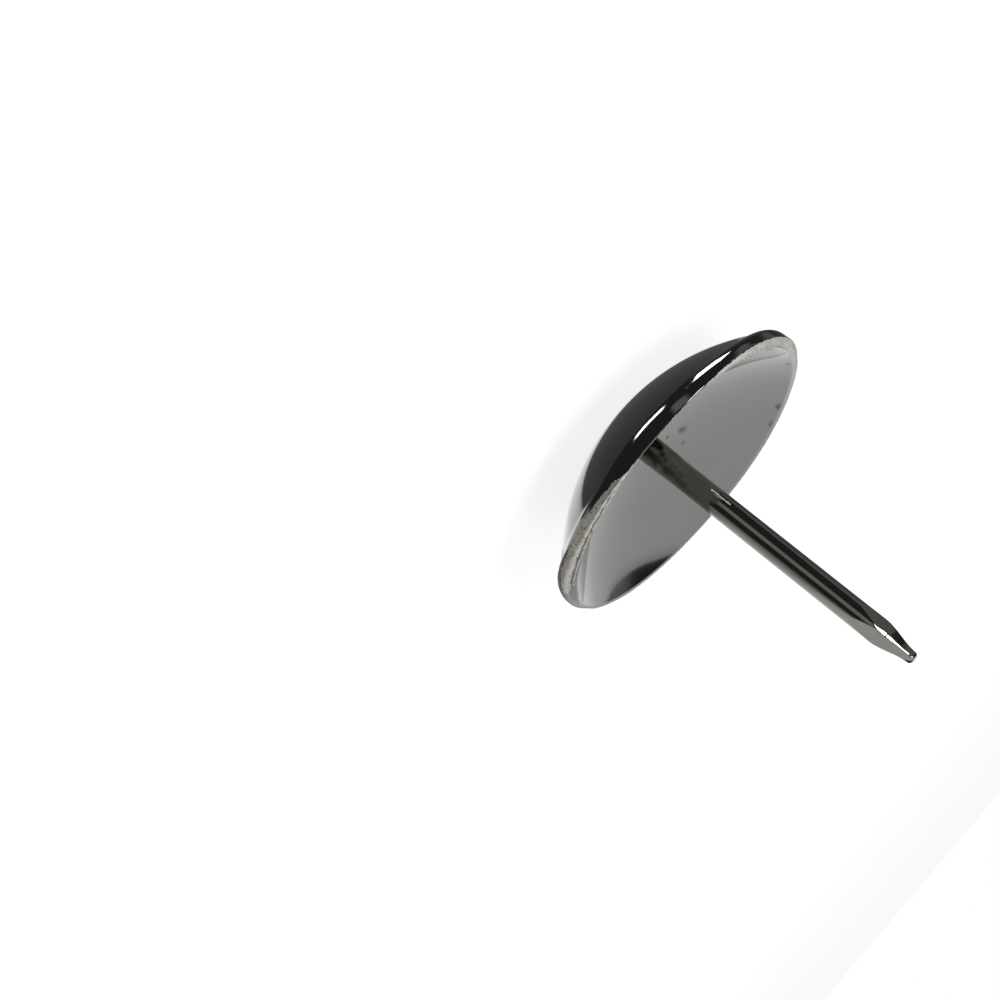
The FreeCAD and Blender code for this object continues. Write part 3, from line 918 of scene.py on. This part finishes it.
def make_room():
    """The dim room round the studio, seen only in the metal."""
    vertices = []
    for column in range(ROOM_COLUMNS):
        turn = 2 * math.pi * column / ROOM_COLUMNS
        for ring in range(1, ROOM_RINGS):
            tilt = math.pi * ring / ROOM_RINGS
            vertices.append(Vector((math.sin(tilt) * math.cos(turn), math.sin(tilt) * math.sin(turn),
                                    -math.cos(tilt))) * ROOM_RADIUS)
    vertices += [DOWN * ROOM_RADIUS, UP * ROOM_RADIUS]
    room = make_piece("studio_room", vertices, ring_faces(ROOM_COLUMNS, ROOM_RINGS - 1))
    room.data.materials.append(room_material())
    only_in_reflections(room)


def room_material():
    """Dim walls with a lighter band low down on the far side."""
    material = bpy.data.materials.new("studio_room")
    material.use_nodes = True
    tree = material.node_tree
    tree.nodes.clear()
    _, away, off = sheet_axes()
    place = add(tree, "TexCoord").outputs["Object"]
    lift, depth = (maths(tree, "DIVIDE", add(
        tree, "VectorMath", {0: place, 1: axis}, operation="DOT_PRODUCT").outputs["Value"], ROOM_RADIUS)
        for axis in (off, away))
    band = ramp(tree, lift, 0.02, 0.1, HORIZON_LEVEL, 0.0)
    horizon = maths(tree, "MULTIPLY", band, ramp(tree, depth, -0.05, 0.2))
    glow = maths(tree, "ADD", horizon, ROOM_LEVEL)
    light = add(tree, "Emission", {"Color": (0.97, 0.98, 1, 1), "Strength": glow}).outputs[0]
    add(tree, "OutputMaterial", {"Surface": light})
    return material


def make_lamp(name, place, size, power):
    """A soft lamp for the floor's shadow and the unplated steel, which the metal doesn't mirror."""
    data = bpy.data.lights.new(name, "AREA")
    data.size = size * MM
    data.energy = power
    lamp = bpy.data.objects.new(name, data)
    bpy.context.scene.collection.objects.link(lamp)
    lamp.location = Vector(place) * MM
    lamp.rotation_euler = (RIM_CENTRE - lamp.location).to_track_quat("-Z", "Y").to_euler()
    lamp.visible_glossy = False


def camera_turn():
    """The camera's orientation: level look along +Y, dipped to the head, then rolled."""
    dip = Matrix.Rotation(math.pi / 2 - CAMERA_DIP, 4, "X")
    return dip @ Matrix.Rotation(CAMERA_ROLL, 4, "Z")


def make_camera():
    """The camera that sees the object as the photo does."""
    data = bpy.data.cameras.new("camera")
    data.sensor_width = 36.0
    data.lens = CAMERA_LENS
    data.clip_start = 1 * MM
    data.clip_end = 10000 * MM
    camera = bpy.data.objects.new("camera", data)
    bpy.context.scene.collection.objects.link(camera)
    camera.matrix_world = Matrix.Translation(CAMERA_PLACE) @ camera_turn()
    bpy.context.scene.camera = camera


make_camera()
white_world()
make_floor()
make_room()
make_sheet()
for card in CARDS:
    make_card(*card)
for lamp in LAMPS:
    make_lamp(*lamp)

groups = {
    "peel": orange_peel_group(),
    "haze": haze_group(),
    "ragged": ragged_group(),
    "torn_steel": torn_steel_group(),
    "spot": spot_group(),
    "lines": drawn_lines_group(),
}

for build, node, slot in ((make_head, "domed_head", "head_plating"), (make_nail, "nail", "nail_plating")):
    piece = build()
    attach(piece, "root")
    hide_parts(node)

bpy.context.scene.view_settings.view_transform = "Standard"
